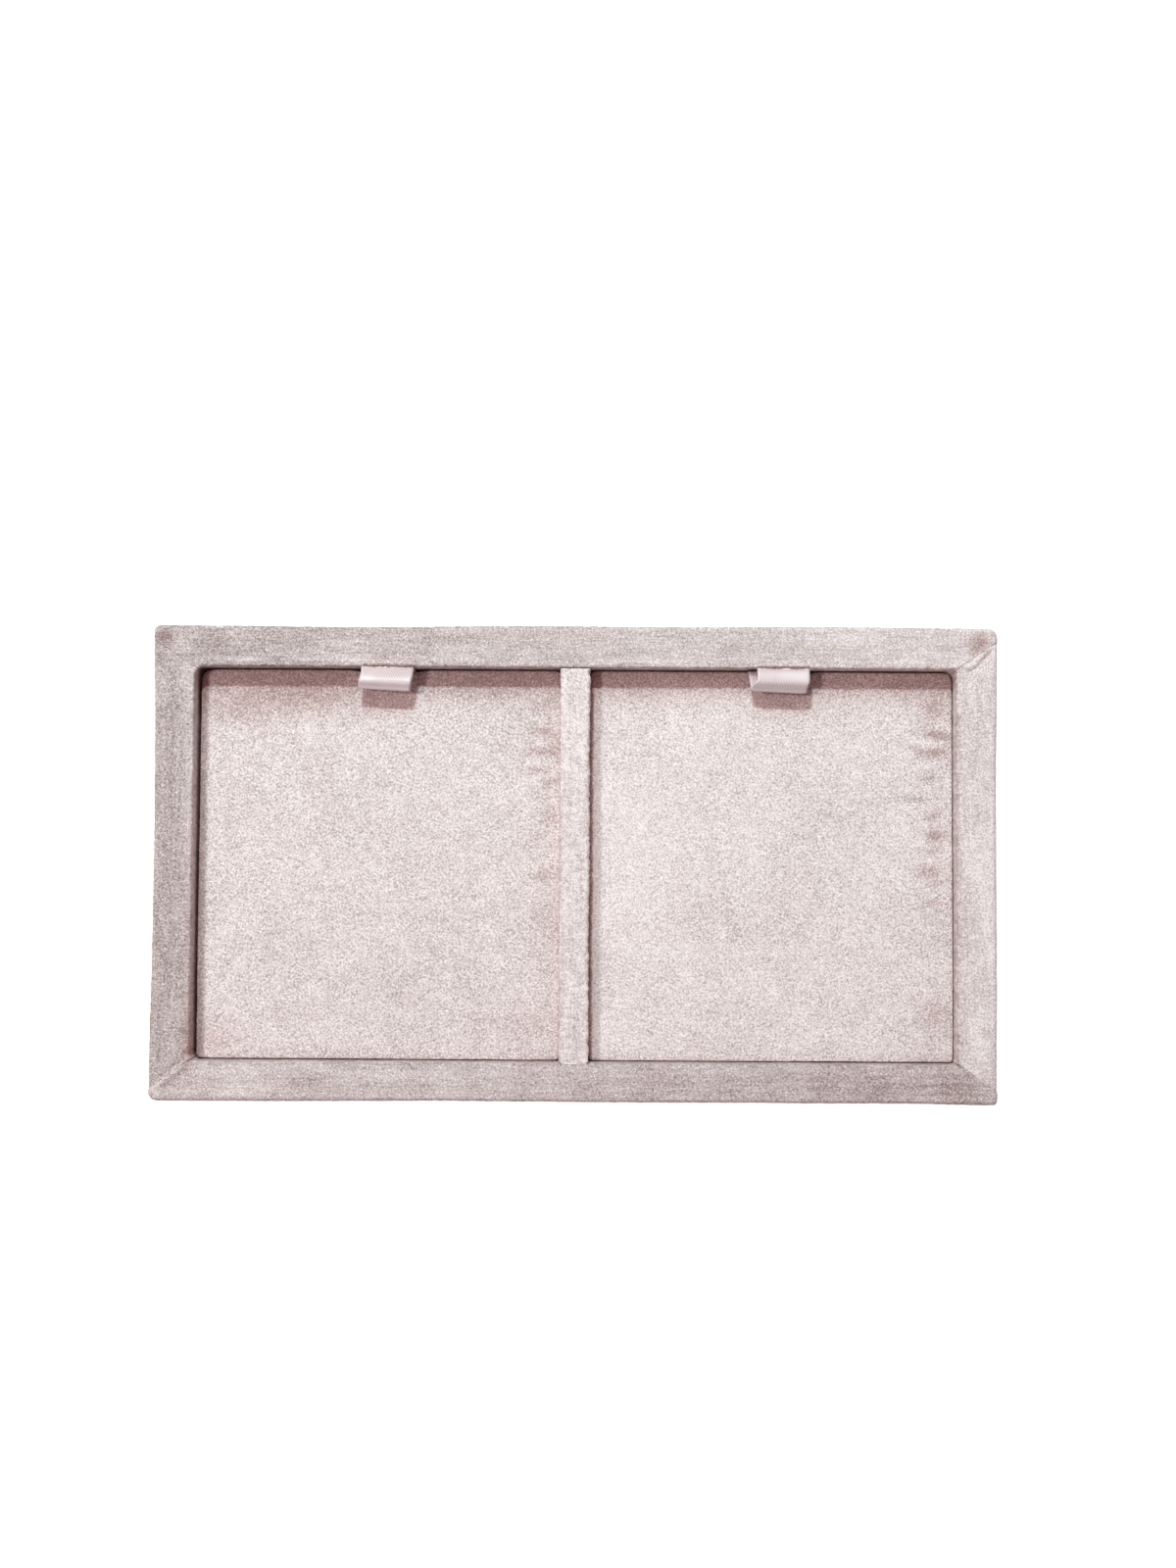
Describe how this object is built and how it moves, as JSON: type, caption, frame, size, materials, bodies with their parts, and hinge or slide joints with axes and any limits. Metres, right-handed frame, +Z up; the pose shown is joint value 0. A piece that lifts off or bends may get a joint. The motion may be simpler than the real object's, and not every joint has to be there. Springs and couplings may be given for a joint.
{
  "type": "compartment tray",
  "caption": "Shallow velvet-covered jewellery tray with side-by-side compartments, each with a flat padded velvet pad that lifts out by a folded satin ribbon loop.",
  "frame": {"origin": "middle of the underside, on the surface that the tray rests on", "axes": "+X along the tray's length, +Y to the back edge where the ribbon loops are, +Z up"},
  "size_m": [0.205, 0.115, 0.0205],
  "materials": {
    "rail_velvet": "short-pile velvet, matt, with a soft sheen at grazing angles",
    "pad_velvet": "short-pile velvet, matt, slightly paler than the frame",
    "ribbon_satin": "satin ribbon, glossy along its folds",
    "fibreboard": "raw pressed fibreboard, hidden",
    "card": "uncoated grey card",
    "foam": "open-cell foam, hidden"
  },
  "bodies": {
    "tray": {"base_board": "fibreboard", "front_rail_board": "fibreboard", "back_rail_board": "fibreboard", "left_rail_board": "fibreboard", "right_rail_board": "fibreboard", "divider_board": "fibreboard", "front_rail_velvet": "rail_velvet", "back_rail_velvet": "rail_velvet", "left_rail_velvet": "rail_velvet", "right_rail_velvet": "rail_velvet", "divider_velvet": "rail_velvet", "left_floor_lining": "rail_velvet", "right_floor_lining": "rail_velvet", "underside_panel": "card"},
    "left_pad": {"left_pad_cover": "pad_velvet", "left_pad_foam": "foam", "left_pad_board": "fibreboard", "left_pad_backing": "card", "left_ribbon_tail": "ribbon_satin"},
    "right_pad": {"right_pad_cover": "pad_velvet", "right_pad_foam": "foam", "right_pad_board": "fibreboard", "right_pad_backing": "card", "right_ribbon_tail": "ribbon_satin"},
    "left_tab": {"left_ribbon_loop": "ribbon_satin"},
    "right_tab": {"right_ribbon_loop": "ribbon_satin"}
  },
  "joints": [
    {"name": "left_pad_lift", "type": "slide", "parent": "tray", "child": "left_pad", "axis": [0, 0, 1], "range_m": [0, 0.03]},
    {"name": "right_pad_lift", "type": "slide", "parent": "tray", "child": "right_pad", "axis": [0, 0, 1], "range_m": [0, 0.03]},
    {"name": "left_tab_flex", "type": "hinge", "parent": "left_pad", "child": "left_tab", "pos_m": [-0.0458, 0.04759, 0.01985], "axis": [-1, 0, 0], "range_deg": [0, 80]},
    {"name": "right_tab_flex", "type": "hinge", "parent": "right_pad", "child": "right_tab", "pos_m": [0.0507, 0.04759, 0.01985], "axis": [-1, 0, 0], "range_deg": [0, 80]}
  ]
}
